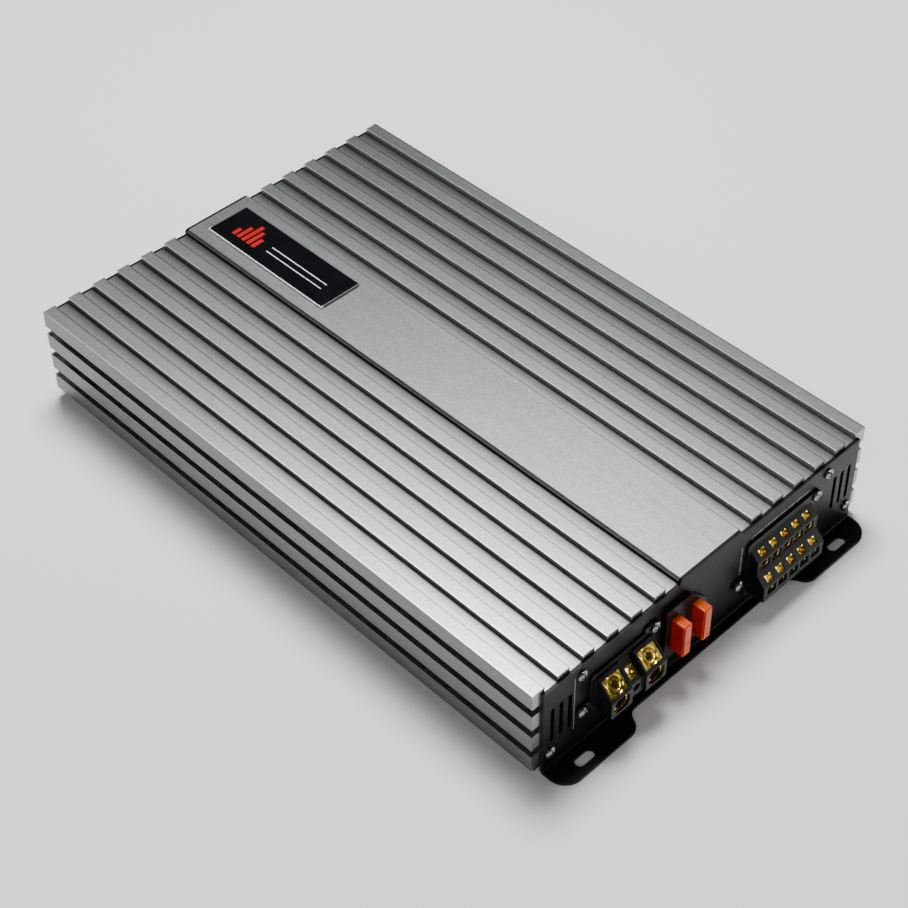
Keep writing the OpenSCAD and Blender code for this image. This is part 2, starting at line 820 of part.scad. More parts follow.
module speaker_terminal_block() {
    flange_h = speaker_flange[1] - speaker_flange[0];
    color([0.05, 0.05, 0.05]) difference() {
        union() {
            translate([face_x, 0, 0]) along_y(speaker_y, speaker_w) speaker_outline();
            along_x(face_x, flange_t) difference() {
                union() {
                    translate([speaker_y, speaker_flange[0] + flange_h / 2])
                        rounded_square([speaker_w + 2 * flange_margin, flange_h], 2);
                    flange_lug(speaker_fix[0], 1);
                    flange_lug(speaker_fix[1], -1);
                }
                for (p = speaker_fix) translate(p) circle(clear_r);
            }
        }
        for (row = [0:1], col = [0:speaker_cols - 1]) {
            translate([face_x, 0, 0]) along_y(speaker_col_y(col), speaker_contact_w)
                speaker_contact_outline(row);
            on_speaker_slope(row, col) slope_window(speaker_window);
            at_terminal(speaker_contact_x[row] - 0.3, speaker_col_y(col), speaker_wire_z[row])
                rotate([0, 90, 0]) linear_extrude(6) square(speaker_entry, center = true);
        }
    }
}

module speaker_contacts() {
    color("gold") for (row = [0:1], col = [0:speaker_cols - 1]) difference() {
        translate([face_x, 0, 0]) along_y(speaker_col_y(col), speaker_contact_w)
            speaker_contact_outline(row);
        at_terminal(speaker_contact_back + 1, speaker_col_y(col), speaker_wire_z[row])
            rotate([0, 90, 0]) cylinder(r = speaker_wire_r, h = 20);
        on_speaker_slope(row, col)
            translate([0, 0, -5.6]) cylinder(r = speaker_screw_r + screw_fit, h = 8);
    }
}

module speaker_screw(row, col) {
    color("gold") on_speaker_slope(row, col)
        translate([0, 0, -0.6]) slotted_grub(speaker_screw_r, 2.6, 0.7);
}

module terminal_fixing_screws() {
    color("silver") for (p = concat(power_fix, speaker_fix))
        translate([face_x + flange_t, p[0], p[1]]) rotate([0, 90, 0]) pan_screw(6);
}

module bus_bars() {
    color("peru") {
        translate([146, -68, board_top]) cube([6, 62, 1.5]);
        translate([146, 24, board_top]) cube([6, 46, 1.5]);
        translate([92, -74, board_top]) cube([54 + eps, 5, 1.5]);
    }
}

// ---------- signal end ----------

// Puts children on the control end with x measured outwards from the plate's face, towards -X
module at_control(x, y, z) {
    translate([-face_x - x, y, z]) rotate([0, -90, 0]) children();
}

module rca_block() {
    color([0.06, 0.06, 0.06]) difference() {
        translate([-end_x + 0.1, 39, board_top]) cube([12, 36, 34]);
        for (p = rca_at) at_control(-30, p[0], p[1]) cylinder(r = rca_shell_r, h = 40);
    }
}

module rca_shells() {
    color("gainsboro") for (p = rca_at) at_control(-9, p[0], p[1]) difference() {
        union() {
            cylinder(r = rca_shell_r, h = 9 + rca_reach);
            translate([0, 0, 8.5]) cylinder(r = rca_shell_r + 0.9, h = 1.6);
        }
        translate([0, 0, 2]) cylinder(r = rca_shell_r - 0.5, h = 30);
    }
}

module rca_insulators() {
    color("firebrick") for (p = rca_at) at_control(-7, p[0], p[1]) difference() {
        cylinder(r = rca_shell_r - 0.5, h = 6.6 + rca_reach);
        translate([0, 0, 3]) cylinder(r = 1.6, h = 30);
    }
}

module pot_bodies() {
    color("silver") for (y = knob_y) difference() {
        union() {
            at_control(-8.6, y, knob_z) translate([-5, -5, 0]) cube([10, 10, 6.8]);
            at_control(-2, y, knob_z) cylinder(r = bushing_r, h = 3.2);
        }
        at_control(-6, y, knob_z) cylinder(r = knob_stem_r + screw_fit, h = 20);
    }
}

// Knob with a fluted head and a pointer slot, on a plain stem
module knob(index) {
    flutes = 12;
    color([0.1, 0.1, 0.1]) difference() {
        union() {
            at_control(-5.6, knob_y[index], knob_z) cylinder(r = knob_stem_r, h = 8);
            at_control(1.6, knob_y[index], knob_z) cylinder(r = knob_r, h = knob_len);
        }
        at_control(3, knob_y[index], knob_z) for (i = [0:flutes - 1])
            rotate([0, 0, (i + 0.5) * 360 / flutes]) translate([knob_r + 0.35, 0, 0])
                cylinder(r = 0.7, h = 12);
        at_control(1.6 + knob_len - 0.8, knob_y[index], knob_z)
            translate([-0.5, -0.5, 0]) cube([knob_r + 2, 1, 2]);
    }
}

module switch_frames() {
    wide = switch_slot[0] + 3;
    color("silver") for (y = switch_y) difference() {
        translate([-end_x + 0.1, y - wide / 2, knob_z - 4]) cube([6, wide, 8]);
        translate([-end_x - 1, y - switch_slot[0] / 2, knob_z - switch_slot[1] / 2])
            cube([5.6, switch_slot[0], switch_slot[1]]);
    }
}

module slider(index) {
    half = switch_slot[0] / 2 - switch_travel - 0.3;
    color("whitesmoke") {
        translate([-end_x - 0.1, switch_y[index] - half, knob_z - switch_slot[1] / 2 + 0.3])
            cube([4, 2 * half, switch_slot[1] - 0.6]);
        translate([-face_x - 3, switch_y[index] - 1.6, knob_z - 1.5]) cube([plate_t + 3.5, 3.2, 3]);
    }
}

module indicator_lenses() {
    color("lightblue") for (p = lens_at) {
        at_control(-5, p[0], p[1]) cylinder(r = lens_r, h = 5.6);
        at_control(0.6 - eps, p[0], p[1]) intersection() {
            cylinder(r = lens_r, h = 2);
            translate([0, 0, -0.6]) sphere(r = 1.65);
        }
        at_control(-5.8, p[0], p[1]) cylinder(r = 1.9, h = 0.9);
    }
}

heatsink();
bottom_plate();
terminal_end_plate();
control_end_plate();
end_plate_screws();
bottom_plate_screws();
badge_frame();
badge_face();
circuit_board();
board_standoffs();
board_screws();
toroid_core();
toroid_winding();
filter_capacitors();
inductor_cores();
inductor_windings();
power_transistors();
insulating_pads();
clamp_bars();
clamp_bar_screws();
power_terminal_block();
power_contacts();
fuse_holder();
fuse_clips();
speaker_terminal_block();
speaker_contacts();
terminal_fixing_screws();
bus_bars();
rca_block();
rca_shells();
rca_insulators();
pot_bodies();
switch_frames();
indicator_lenses();
fuse_body_at(fuse_offsets[0]);  // fuse_1_body
fuse_blades_at(fuse_offsets[0]);  // fuse_1_blades
fuse_body_at(fuse_offsets[1]);  // fuse_2_body
fuse_blades_at(fuse_offsets[1]);  // fuse_2_blades
battery_screw();
remote_screw();
ground_screw();
for (row = [0:1], col = [0:speaker_cols - 1])
    speaker_screw(row, col);
for (i = [0:3]) knob(i);
for (i = [0:1]) slider(i);
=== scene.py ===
import math

import bmesh
import bpy
from mathutils import Matrix, Vector


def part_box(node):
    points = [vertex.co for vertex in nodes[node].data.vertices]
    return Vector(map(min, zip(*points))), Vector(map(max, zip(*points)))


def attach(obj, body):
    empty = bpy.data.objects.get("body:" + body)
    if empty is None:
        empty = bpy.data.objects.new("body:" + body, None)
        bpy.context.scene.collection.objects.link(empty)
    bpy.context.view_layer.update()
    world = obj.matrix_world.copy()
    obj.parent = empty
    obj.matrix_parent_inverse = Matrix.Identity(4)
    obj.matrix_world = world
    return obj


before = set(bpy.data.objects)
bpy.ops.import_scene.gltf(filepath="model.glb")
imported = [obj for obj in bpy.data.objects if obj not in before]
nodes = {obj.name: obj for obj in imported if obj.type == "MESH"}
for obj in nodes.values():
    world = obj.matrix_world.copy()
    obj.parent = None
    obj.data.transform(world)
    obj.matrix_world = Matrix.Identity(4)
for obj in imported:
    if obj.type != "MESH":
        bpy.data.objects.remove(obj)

MM = 0.001
PLATE = 1.6 * MM                      # thickness of an end plate
INK = (-0.02 * MM, 0.05 * MM)         # a printed stroke's back and front, out from a plate's face
STROKE = 0.35 * MM                    # width of the printed lines on the control end
MID = (0.3, 0.7)                      # range where most of a noise texture's values lie
WALL = (0.75, 0.97)                   # how far a surface faces +Y or -Y, from sloped to upright
X, Y, Z = range(3)
MIX_A, MIX_B, MIX_OUT = 6, 7, 2       # the colour sockets of a Mix node
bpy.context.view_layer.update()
shell_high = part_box("heatsink")[1]
knobs = ["front_gain_knob", "rear_gain_knob", "high_pass_knob", "low_pass_knob"]
sliders = ["front_mode_slider", "rear_mode_slider"]


# ---------- camera, floor and light ----------

SENSOR = 36.0                         # mm
LENS = 80.65                          # mm
AZIMUTH, ELEVATION, ROLL = 0.7733788, 0.7503951, 0.007628    # radians
CAMERA_AT = Vector((0.50674, -0.47130, 0.69695))              # metres
SHIFT = (-0.0663, -0.0902)            # the picture's off-centre crop
CLIP = (0.05, 20)                     # metres
FLOOR_SIZE = 6.0                      # metres


def make_camera():
    data = bpy.data.cameras.new("camera")
    data.sensor_width = SENSOR
    data.lens = LENS
    data.shift_x, data.shift_y = SHIFT
    data.clip_start, data.clip_end = CLIP
    camera = bpy.data.objects.new("camera", data)
    bpy.context.scene.collection.objects.link(camera)
    back = Vector((
        math.sin(AZIMUTH) * math.cos(ELEVATION),
        -math.cos(AZIMUTH) * math.cos(ELEVATION),
        math.sin(ELEVATION),
    ))
    level = Vector((math.cos(AZIMUTH), math.sin(AZIMUTH), 0))
    upright = back.cross(level)
    right = level * math.cos(ROLL) + upright * math.sin(ROLL)
    up = upright * math.cos(ROLL) - level * math.sin(ROLL)
    turn = Matrix((right, up, back)).transposed()
    camera.matrix_world = Matrix.Translation(CAMERA_AT) @ turn.to_4x4()
    bpy.context.scene.camera = camera


def area_light(name, at, target, size, power, colour=(1, 1, 1)):
    """A rectangular light that faces a point, in metres and watts."""
    data = bpy.data.lights.new(name, "AREA")
    data.shape = "RECTANGLE"
    data.size, data.size_y = size
    data.energy = power
    data.color = colour
    light = bpy.data.objects.new(name, data)
    bpy.context.scene.collection.objects.link(light)
    light.location = at
    light.rotation_mode = "QUATERNION"
    light.rotation_quaternion = (Vector(target) - Vector(at)).to_track_quat("-Z", "Y")


def make_lights():
    world = bpy.data.worlds.new("world")
    bpy.context.scene.world = world
    world.use_nodes = True
    sky = world.node_tree.nodes["Background"]
    sky.inputs["Color"].default_value = (0.92, 0.95, 1.0, 1)
    sky.inputs["Strength"].default_value = 0.05
    area_light("top_softbox", (-0.3, 0.22, 1.28), (0, 0, 0.05), (0.5, 0.5), 30, (0.98, 1, 0.985))
    area_light("front_fill", (0.9, -1.5, 1.5), (0.1, 0, 0), (1.6, 1.0), 12)
    area_light("right_strip", (1.0, 0.75, 0.28), (0.16, 0, 0.04), (0.5, 0.12), 3, (1, 0.97, 0.92))


def make_floor():
    bpy.ops.mesh.primitive_plane_add(size=FLOOR_SIZE, location=(0, 0, 0))
    floor = bpy.context.object
    floor.name = "floor"
    material, shader = new_material("floor_pale")
    shader.inputs["Base Color"].default_value = (0.92, 0.92, 0.92, 1)
    shader.inputs["Roughness"].default_value = 0.9
    floor.data.materials.append(material)


# ---------- material helpers ----------

def new_material(name):
    material = bpy.data.materials.new(name)
    material.use_nodes = True
    return material, material.node_tree.nodes["Principled BSDF"]


class Maker:
    """Short calls for the nodes of one material."""

    def __init__(self, name, metallic=0.0):
        self.material, self.shader = new_material(name)
        self.tree = self.material.node_tree
        self.shader.inputs["Metallic"].default_value = metallic
        self.place = self.add("ShaderNodeTexCoord").outputs["Object"]

    def add(self, kind, **settings):
        node = self.tree.nodes.new(kind)
        for key, value in settings.items():
            setattr(node, key, value)
        return node

    def link(self, source, target):
        self.tree.links.new(source, target)

    def noise(self, per_metre, detail, stretch=(1, 1, 1), rough=0.5):
        """Noise with about per_metre cells to a metre, times each axis's stretch."""
        mapping = self.add("ShaderNodeMapping")
        self.link(self.place, mapping.inputs["Vector"])
        mapping.inputs["Scale"].default_value = [per_metre * s for s in stretch]
        noise = self.add("ShaderNodeTexNoise")
        self.link(mapping.outputs["Vector"], noise.inputs["Vector"])
        noise.inputs["Scale"].default_value = 1.0
        noise.inputs["Detail"].default_value = detail
        noise.inputs["Roughness"].default_value = rough
        return noise.outputs["Fac"]

    def ramp(self, source, low, high):
        """Clamps source from low..high to 0..1."""
        node = self.add("ShaderNodeMapRange")
        self.link(source, node.inputs["Value"])
        node.inputs["From Min"].default_value = low
        node.inputs["From Max"].default_value = high
        return node.outputs["Result"]

    def spread(self, source):
        """Widens a noise texture's usual values to 0..1."""
        return self.ramp(source, *MID)

    def scale(self, source, low, high):
        """Turns 0..1 into low..high."""
        node = self.add("ShaderNodeMapRange")
        self.link(source, node.inputs["Value"])
        node.inputs["To Min"].default_value = low
        node.inputs["To Max"].default_value = high
        return node.outputs["Result"]

    def maths(self, operation, a, b=None):
        node = self.add("ShaderNodeMath", operation=operation)
        for value, socket in ((a, node.inputs[0]), (b, node.inputs[1])):
            if isinstance(value, (int, float)):
                socket.default_value = value
            elif value is not None:
                self.link(value, socket)
        return node.outputs[0]

    def times(self, a, b):
        return self.maths("MULTIPLY", a, b)

    def mix(self, factor, a, b):
        node = self.add("ShaderNodeMix", data_type="RGBA")
        self.link(factor, node.inputs[0])
        for value, socket in ((a, node.inputs[MIX_A]), (b, node.inputs[MIX_B])):
            if isinstance(value, tuple):
                socket.default_value = (*value, 1)
            else:
                self.link(value, socket)
        return node.outputs[MIX_OUT]

    def tint(self, source, amount):
        """Multiplies a colour by a factor."""
        node = self.add("ShaderNodeMix", data_type="RGBA", blend_type="MULTIPLY")
        node.inputs[0].default_value = 1.0
        self.link(source, node.inputs[MIX_A])
        node.inputs[MIX_B].default_value = (amount, amount, amount, 1)
        return node.outputs[MIX_OUT]

    def axis(self, index):
        """A point's place along one axis, in metres."""
        node = self.add("ShaderNodeSeparateXYZ")
        self.link(self.place, node.inputs[0])
        return node.outputs[index]

    def facing(self, index):
        """How far a surface faces one axis: -1 to 1."""
        node = self.add("ShaderNodeSeparateXYZ")
        self.link(self.add("ShaderNodeTexCoord").outputs["Normal"], node.inputs[0])
        return node.outputs[index]

    def bump(self, source, strength, distance):
        node = self.add("ShaderNodeBump")
        self.link(source, node.inputs["Height"])
        node.inputs["Strength"].default_value = strength
        node.inputs["Distance"].default_value = distance
        if self.shader.inputs["Normal"].links:
            self.link(self.shader.inputs["Normal"].links[0].from_socket, node.inputs["Normal"])
        self.link(node.outputs["Normal"], self.shader.inputs["Normal"])

    def colour(self, source):
        self.link(source, self.shader.inputs["Base Color"])

    def roughness(self, source):
        self.link(source, self.shader.inputs["Roughness"])


# ---------- materials ----------

def rib_layout():
    """Half width, rib width, rib pitch and centre panel's half width, read from the mesh."""
    top = shell_high.z - 0.05 * MM
    edges = sorted({round(v.co.y, 6) for v in nodes["heatsink"].data.vertices if v.co.z > top})
    panel = min(abs(y) for y in edges)
    return shell_high.y, edges[1] - edges[0], edges[2] - edges[0], panel


def blasted_aluminium_painted_light():
    """Blasted grain, with painted shade in the valleys, on most walls and on the side fins, painted
    light on the rib walls facing -Y, and a painted highlight on each rib's -Y edge and a painted
    dark reflection line on its +Y edge.
    """
    half, rib, pitch, panel = rib_layout()
    m = Maker("blasted_aluminium_painted_light", metallic=1.0)
    grain = m.noise(2600, 2, rough=0.6)
    streak = m.noise(700, 3, stretch=(0.02, 1, 1))
    patch = m.noise(22, 3)
    blend = m.maths("ADD", m.scale(m.spread(grain), 0, 0.55), m.scale(m.spread(streak), 0, 0.3))
    blend = m.maths("ADD", blend, m.scale(patch, 0, 0.15))
    tone = m.mix(blend, (0.28, 0.305, 0.29), (0.46, 0.485, 0.47))
    speck = m.ramp(m.noise(1100, 1), 0.36, 0.64)
    tone = m.mix(speck, m.tint(tone, 0.88), m.tint(tone, 1.08))

    # Distance along +Y from the start of the rib that a point is on or behind
    y = m.axis(Y)
    away = m.maths("ABSOLUTE", y)
    far_shift = m.times(m.maths("GREATER_THAN", y, 0), 2 * half - rib)
    along = m.maths("SUBTRACT", m.maths("ADD", y, half), far_shift)
    along = m.maths("FLOORED_MODULO", along, pitch)

    # Masks, 1 where a point is on the named area or gets the named painted light or shade
    height = m.axis(Z)
    towards = m.facing(Y)
    ribbed = m.maths("GREATER_THAN", away, panel + 0.1 * MM)
    top = m.ramp(height, shell_high.z - 2.6 * MM, shell_high.z - 1.2 * MM)
    on_rib = m.times(ribbed, top)
    in_valley = m.times(ribbed, m.maths("SUBTRACT", 1, top))
    # Painted shadow: the valley floor darkens over its last 5.5 mm before the next rib's wall
    painted_valley_shadow = m.times(m.ramp(along, pitch - 5.5 * MM, pitch), in_valley)
    # Painted dark reflection: a line along each rib's +Y edge
    painted_dark_reflection_edge = m.times(m.ramp(along, rib - 1.1 * MM, rib - 0.6 * MM), on_rib)
    # Painted highlight: a line along each rib's -Y edge
    first_edge = m.maths("SUBTRACT", 1, m.ramp(along, 0.4 * MM, 0.8 * MM))
    painted_highlight_edge = m.times(first_edge, on_rib)
    near_walls = m.ramp(m.times(towards, -1), *WALL)
    high_up = m.maths("GREATER_THAN", height, shell_high.z - 2.9 * MM)
    rib_walls = m.times(near_walls, high_up)
    groove_walls = m.times(near_walls, m.maths("SUBTRACT", 1, high_up))
    panel_wall = m.times(near_walls, m.maths("LESS_THAN", away, panel + 1.6 * MM))
    far_walls = m.ramp(towards, 0.2, 0.75)
    outermost = m.ramp(away, half - 0.6 * MM, half - 0.2 * MM)
    fins = m.times(outermost, m.ramp(m.maths("ABSOLUTE", towards), *WALL))

    # Each row covers the rows above it with a multiple of the plain tone: every row is painted
    # light, painted shade below 1 and painted highlight above 1
    painted_light_tone = tone
    for mask, amount in (
        # Painted shade on the valley floors, deepest by the next rib's wall
        (in_valley, 0.95),
        (painted_valley_shadow, 0.22),
        # Painted dark reflection and painted highlight on the rib edges
        (painted_dark_reflection_edge, 0.5),
        (painted_highlight_edge, 1.9),
        # Painted light on the upper -Y walls; painted shade on the lower -Y walls, by the centre
        # panel, on +Y walls and on the side fins
        (rib_walls, 1.9),
        (groove_walls, 0.35),
        (panel_wall, 0.2),
        (far_walls, 0.4),
        (fins, 0.44),
    ):
        painted_light_tone = m.mix(mask, painted_light_tone, m.tint(tone, amount))
    m.colour(painted_light_tone)
    m.roughness(m.scale(m.spread(grain), 0.28, 0.38))
    m.bump(grain, 0.25, 0.08 * MM)
    m.bump(streak, 0.12, 0.05 * MM)
    return m.material


def powder_black():
    """Powder coat with an orange-peel surface."""
    m = Maker("powder_black")
    m.shader.inputs["Specular IOR Level"].default_value = 0.14
    peel = m.noise(900, 2)
    fine = m.noise(3500, 1)
    m.colour(m.mix(m.ramp(fine, 0.35, 0.65), (0.004, 0.004, 0.0042), (0.0072, 0.0072, 0.0076)))
    m.roughness(m.scale(m.spread(peel), 0.29, 0.42))
    m.bump(peel, 0.15, 0.06 * MM)
    return m.material


def moulded(name, dark, light, roughness, grain=0.2, shine=0.5):
    """Fine-grained plastic."""
    m = Maker(name)
    m.shader.inputs["Specular IOR Level"].default_value = shine
    speck = m.noise(2800, 2)
    flow = m.noise(120, 3)
    m.colour(m.mix(m.spread(flow), dark, light))
    m.roughness(m.scale(m.spread(speck), roughness - 0.06, roughness + 0.08))
    m.bump(speck, grain, 0.05 * MM)
    return m.material


def metal(name, dark, light, roughness, streaks=(1, 1, 1), grain=1500, metallic=1.0):
    """Stained and lightly streaked metal."""
    m = Maker(name, metallic=metallic)
    turned = m.noise(grain, 3, stretch=streaks)
    stain = m.noise(160, 3)
    shade = m.maths("ADD", m.scale(turned, 0, 0.6), m.scale(stain, 0, 0.4))
    m.colour(m.mix(m.spread(shade), dark, light))
    m.roughness(m.scale(m.spread(stain), roughness - 0.06, roughness + 0.1))
    m.bump(turned, 0.15, 0.04 * MM)
    return m.material


def gloss_black():
    """Smooth, hazy lacquer."""
    m = Maker("badge_lacquer")
    m.shader.inputs["Specular IOR Level"].default_value = 0.2
    orange_peel = m.noise(350, 2)
    haze = m.noise(90, 3)
    m.colour(m.mix(haze, (0.002, 0.002, 0.0025), (0.006, 0.006, 0.007)))
    m.roughness(m.scale(haze, 0.08, 0.2))
    m.bump(orange_peel, 0.03, 0.05 * MM)
    return m.material


def badge_rim(near_edge):
    """Brushed metal with a painted reflection along the badge's -Y side and painted shade on the
    others.
    """
    m = Maker("badge_rim", metallic=0.3)
    brushed = m.noise(900, 3, stretch=(0.05, 1, 1))
    # Painted reflection, near white, on the -Y side and painted shade, near black, on the other
    # sides
    painted_floor_reflection = m.mix(brushed, (0.86, 0.87, 0.87), (0.98, 0.98, 0.98))
    painted_rim_shade = m.mix(brushed, (0.1, 0.1, 0.1), (0.2, 0.2, 0.2))
    rest = m.ramp(m.axis(Y), near_edge, near_edge + 1.5 * MM)
    m.colour(m.mix(rest, painted_floor_reflection, painted_rim_shade))
    m.roughness(m.scale(brushed, 0.3, 0.45))
    m.bump(brushed, 0.1, 0.04 * MM)
    return m.material


def fuse_plastic():
    """Red plastic, with orange as painted light where it faces up or +X."""
    m = Maker("fuse_plastic")
    m.shader.inputs["Transmission Weight"].default_value = 0.2
    m.shader.inputs["Specular IOR Level"].default_value = 0.2
    flow = m.noise(260, 3)
    cloud = m.spread(flow)
    red = m.mix(cloud, (0.42, 0.004, 0.002), (0.62, 0.012, 0.003))
    # Painted light: orange on the faces turned up or to +X, red on the rest
    orange = m.mix(cloud, (0.8, 0.07, 0.006), (0.9, 0.13, 0.012))
    painted_light_amount = m.maths("ADD", m.facing(Z), m.scale(m.facing(X), 0, 0.7))
    m.colour(m.mix(m.ramp(painted_light_amount, 0.1, 0.9), red, orange))
    m.roughness(m.scale(flow, 0.14, 0.3))
    m.bump(flow, 0.05, 0.1 * MM)
    return m.material


def board_mask():
    """Green circuit board lacquer, lighter over the tracks."""
    m = Maker("board_mask")
    weave = m.noise(1600, 2, stretch=(1, 0.1, 1))
    tracks = m.noise(240, 1, stretch=(0.2, 1, 1))
    m.colour(m.mix(m.ramp(tracks, 0.47, 0.53), (0.008, 0.11, 0.04), (0.015, 0.19, 0.07)))
    m.roughness(m.scale(weave, 0.25, 0.45))
    m.bump(weave, 0.1, 0.05 * MM)
    return m.material


def jack_plastic(split_y):
    """Red on the jacks below split_y and white on those above it."""
    m = Maker("jack_plastic")
    speck = m.noise(1800, 2)
    column = m.maths("GREATER_THAN", m.axis(Y), split_y)
    red = m.mix(speck, (0.42, 0.012, 0.012), (0.55, 0.025, 0.02))
    white = m.mix(speck, (0.72, 0.72, 0.7), (0.82, 0.82, 0.8))
    m.colour(m.mix(column, red, white))
    m.roughness(m.scale(speck, 0.25, 0.4))
    return m.material


# ---------- mesh helpers ----------

def soften(node, width, segments, angle):
    """Joins a CAD node's split edges and rounds those sharper than an angle in degrees, by mm."""
    piece = nodes[node]
    weld = piece.modifiers.new("weld", "WELD")
    weld.merge_threshold = 1e-6
    bevel = piece.modifiers.new("bevel", "BEVEL")
    bevel.width = width * MM
    bevel.segments = segments
    bevel.limit_method = "ANGLE"
    bevel.angle_limit = math.radians(angle)
    bevel.use_clamp_overlap = True
    bevel.harden_normals = False
    smooth = piece.modifiers.new("smooth", "WEIGHTED_NORMAL")
    smooth.keep_sharp = False
    for polygon in piece.data.polygons:
        polygon.use_smooth = True


def dress(names, material, width=None, segments=2, angle=38):
    """Gives CAD nodes a material, and rounded edges where a width is given."""
    for name in names:
        piece = nodes[name]
        piece.data.materials.clear()
        piece.data.materials.append(material)
        if width:
            soften(name, width, segments, angle)


def new_piece(name, mesh, body, material):
    """Adds a mesh to the scene as a piece that moves with a body."""
    data = bpy.data.meshes.new(name)
    mesh.to_mesh(data)
    mesh.free()
    piece = bpy.data.objects.new(name, data)
    bpy.context.scene.collection.objects.link(piece)
    data.materials.append(material)
    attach(piece, body)


def add_block(mesh, low, high, edge=0.0):
    """A box between two corners, with its edges rounded by edge, all in metres."""
    low, high = Vector(low), Vector(high)
    made = bmesh.ops.create_cube(mesh, size=1.0)
    size = high - low
    middle = (low + high) / 2
    for vert in made["verts"]:
        vert.co = Vector((vert.co.x * size.x, vert.co.y * size.y, vert.co.z * size.z)) + middle
    if edge:
        edges = {e for v in made["verts"] for e in v.link_edges}
        bmesh.ops.bevel(
            mesh, geom=list(edges), offset=edge, segments=2, affect="EDGES", profile=0.5)


def middle_of(name):
    """Middle of a CAD node in Y and Z."""
    low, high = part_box(name)
    return (low.y + high.y) / 2, (low.z + high.z) / 2


# ---------- pieces ----------

def badge_motif(bar_paint, line_paint):
    """Level bars beside two thin lines: a plain motif with no lettering."""
    low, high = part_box("badge_face")
    length, width = high.x - low.x, high.y - low.y
    back, front = high.z - 0.05 * MM, high.z + 0.12 * MM
    edge = 0.05 * MM
    margin = 0.12 * length

    bars = bmesh.new()
    bar, pitch = 2.4 * MM, 3.6 * MM
    foot = low.y + 0.24 * width
    for i, tall in enumerate((0.22, 0.4, 0.58, 0.46, 0.3)):
        x = low.x + margin + i * pitch
        add_block(bars, (x, foot, back), (x + bar, foot + tall * width, front), edge)
    new_piece("badge_bars", bars, "root", bar_paint)

    lines = bmesh.new()
    start, end = low.x + 0.4 * length, high.x - margin
    half = 0.25 * MM
    for across in (0.52, 0.36):
        y = low.y + across * width
        add_block(lines, (start, y - half, back), (end, y + half, front), edge)
    new_piece("badge_lines", lines, "root", line_paint)


def print_on(mesh, face_x, outward, y0, z0, y1, z1):
    """A printed stroke on an end plate's face, between two corners."""
    back, front = sorted(face_x + outward * depth for depth in INK)
    add_block(mesh, (back, y0, z0), (front, y1, z1))


def dash(i):
    """Length of the dash at place i in a row."""
    return (1.3 if i % 3 else 0.8) * MM


def terminal_marks(material):
    """Plain printed lines and dashes by the terminals, standing in for the legends."""
    face_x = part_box("heatsink")[1].x + PLATE
    mesh = bmesh.new()

    # A line beside the power terminals
    y = -84.4 * MM
    print_on(mesh, face_x, 1, y, 14 * MM, y + 0.4 * MM, 47 * MM)

    # A row of dashes over the speaker terminals, and an upright at each end of it
    pitch = 1.8 * MM
    bottom, top = 44 * MM, 44.9 * MM
    for i in range(22):
        y = 29 * MM + i * pitch
        print_on(mesh, face_x, 1, y, bottom, y + dash(i), top)
    for y in (27.6 * MM, 69.2 * MM):
        print_on(mesh, face_x, 1, y, bottom - 1.1 * MM, y + 0.3 * MM, top)

    # A column of dashes beside the speaker terminals
    y = 20.8 * MM
    for i in range(10):
        z = 25.5 * MM + i * pitch
        print_on(mesh, face_x, 1, y, z, y + 0.9 * MM, z + dash(i))
    new_piece("terminal_marks", mesh, "root", material)


def knob_dial(mesh, face_x, y, z):
    """Ticks round a knob, over its whole turn, longer at the ends and in the middle."""
    middle = 5
    step = 27                         # degrees
    radius = 5.4 * MM
    for i in range(-middle, middle + 1):
        turn = math.radians(i * step)
        length = (0.9 if abs(i) in (0, middle) else 0.6) * MM
        place = Matrix.Translation((face_x, y, z)) @ Matrix.Rotation(turn, 4, "X")
        place = place @ Matrix.Translation((0, 0, radius))
        shape = Matrix.Diagonal((0.08 * MM, 0.3 * MM, length, 1))
        tick = bmesh.ops.create_cube(mesh, size=1.0)["verts"]
        bmesh.ops.transform(mesh, verts=tick, matrix=place @ shape)


def switch_marks(mesh, face_x, y, z):
    """A bar over a switch with a stroke down to each of its places."""
    half_bar, half_line = 4.2 * MM, 0.15 * MM
    bottom, bar = z + 3.4 * MM, z + 4.8 * MM
    for at in (y - half_bar, y, y + half_bar):
        print_on(mesh, face_x, -1, at - half_line, bottom, at + half_line, bar)
    print_on(mesh, face_x, -1, y - half_bar, bar, y + half_bar, bar + 2 * half_line)


def frame_round(mesh, face_x, low, high):
    """A thin printed frame round the jacks."""
    y0, y1 = low.y - 2.5 * MM, high.y + 2.5 * MM
    z0, z1 = low.z - 1.6 * MM, high.z + 1.6 * MM
    print_on(mesh, face_x, -1, y0, z0, y1, z0 + STROKE)
    print_on(mesh, face_x, -1, y0, z1 - STROKE, y1, z1)
    print_on(mesh, face_x, -1, y0, z0 + STROKE, y0 + STROKE, z1 - STROKE)
    print_on(mesh, face_x, -1, y1 - STROKE, z0 + STROKE, y1, z1 - STROKE)


def control_marks(material):
    """A dial of ticks round each knob and plain lines by the switches and jacks."""
    face_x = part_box("heatsink")[0].x - PLATE
    mesh = bmesh.new()
    for name in knobs:
        knob_dial(mesh, face_x, *middle_of(name))
    for name in sliders:
        switch_marks(mesh, face_x, *middle_of(name))
    frame_round(mesh, face_x, *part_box("rca_shells"))
    new_piece("control_marks", mesh, "root", material)


def knob_pointers(material):
    """A white line laid in each knob's pointer slot."""
    slot_depth, half = 0.8 * MM, 0.42 * MM
    for name in knobs:
        low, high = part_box(name)
        y, z = middle_of(name)
        floor_x = low.x + slot_depth
        mesh = bmesh.new()
        add_block(
            mesh,
            (floor_x - 0.3 * MM, y - half, z - half),
            (floor_x + 0.05 * MM, y + half, high.z - 0.15 * MM),
            0.08 * MM,
        )
        new_piece(f"{name}_pointer", mesh, name, material)


make_camera()
make_lights()
make_floor()

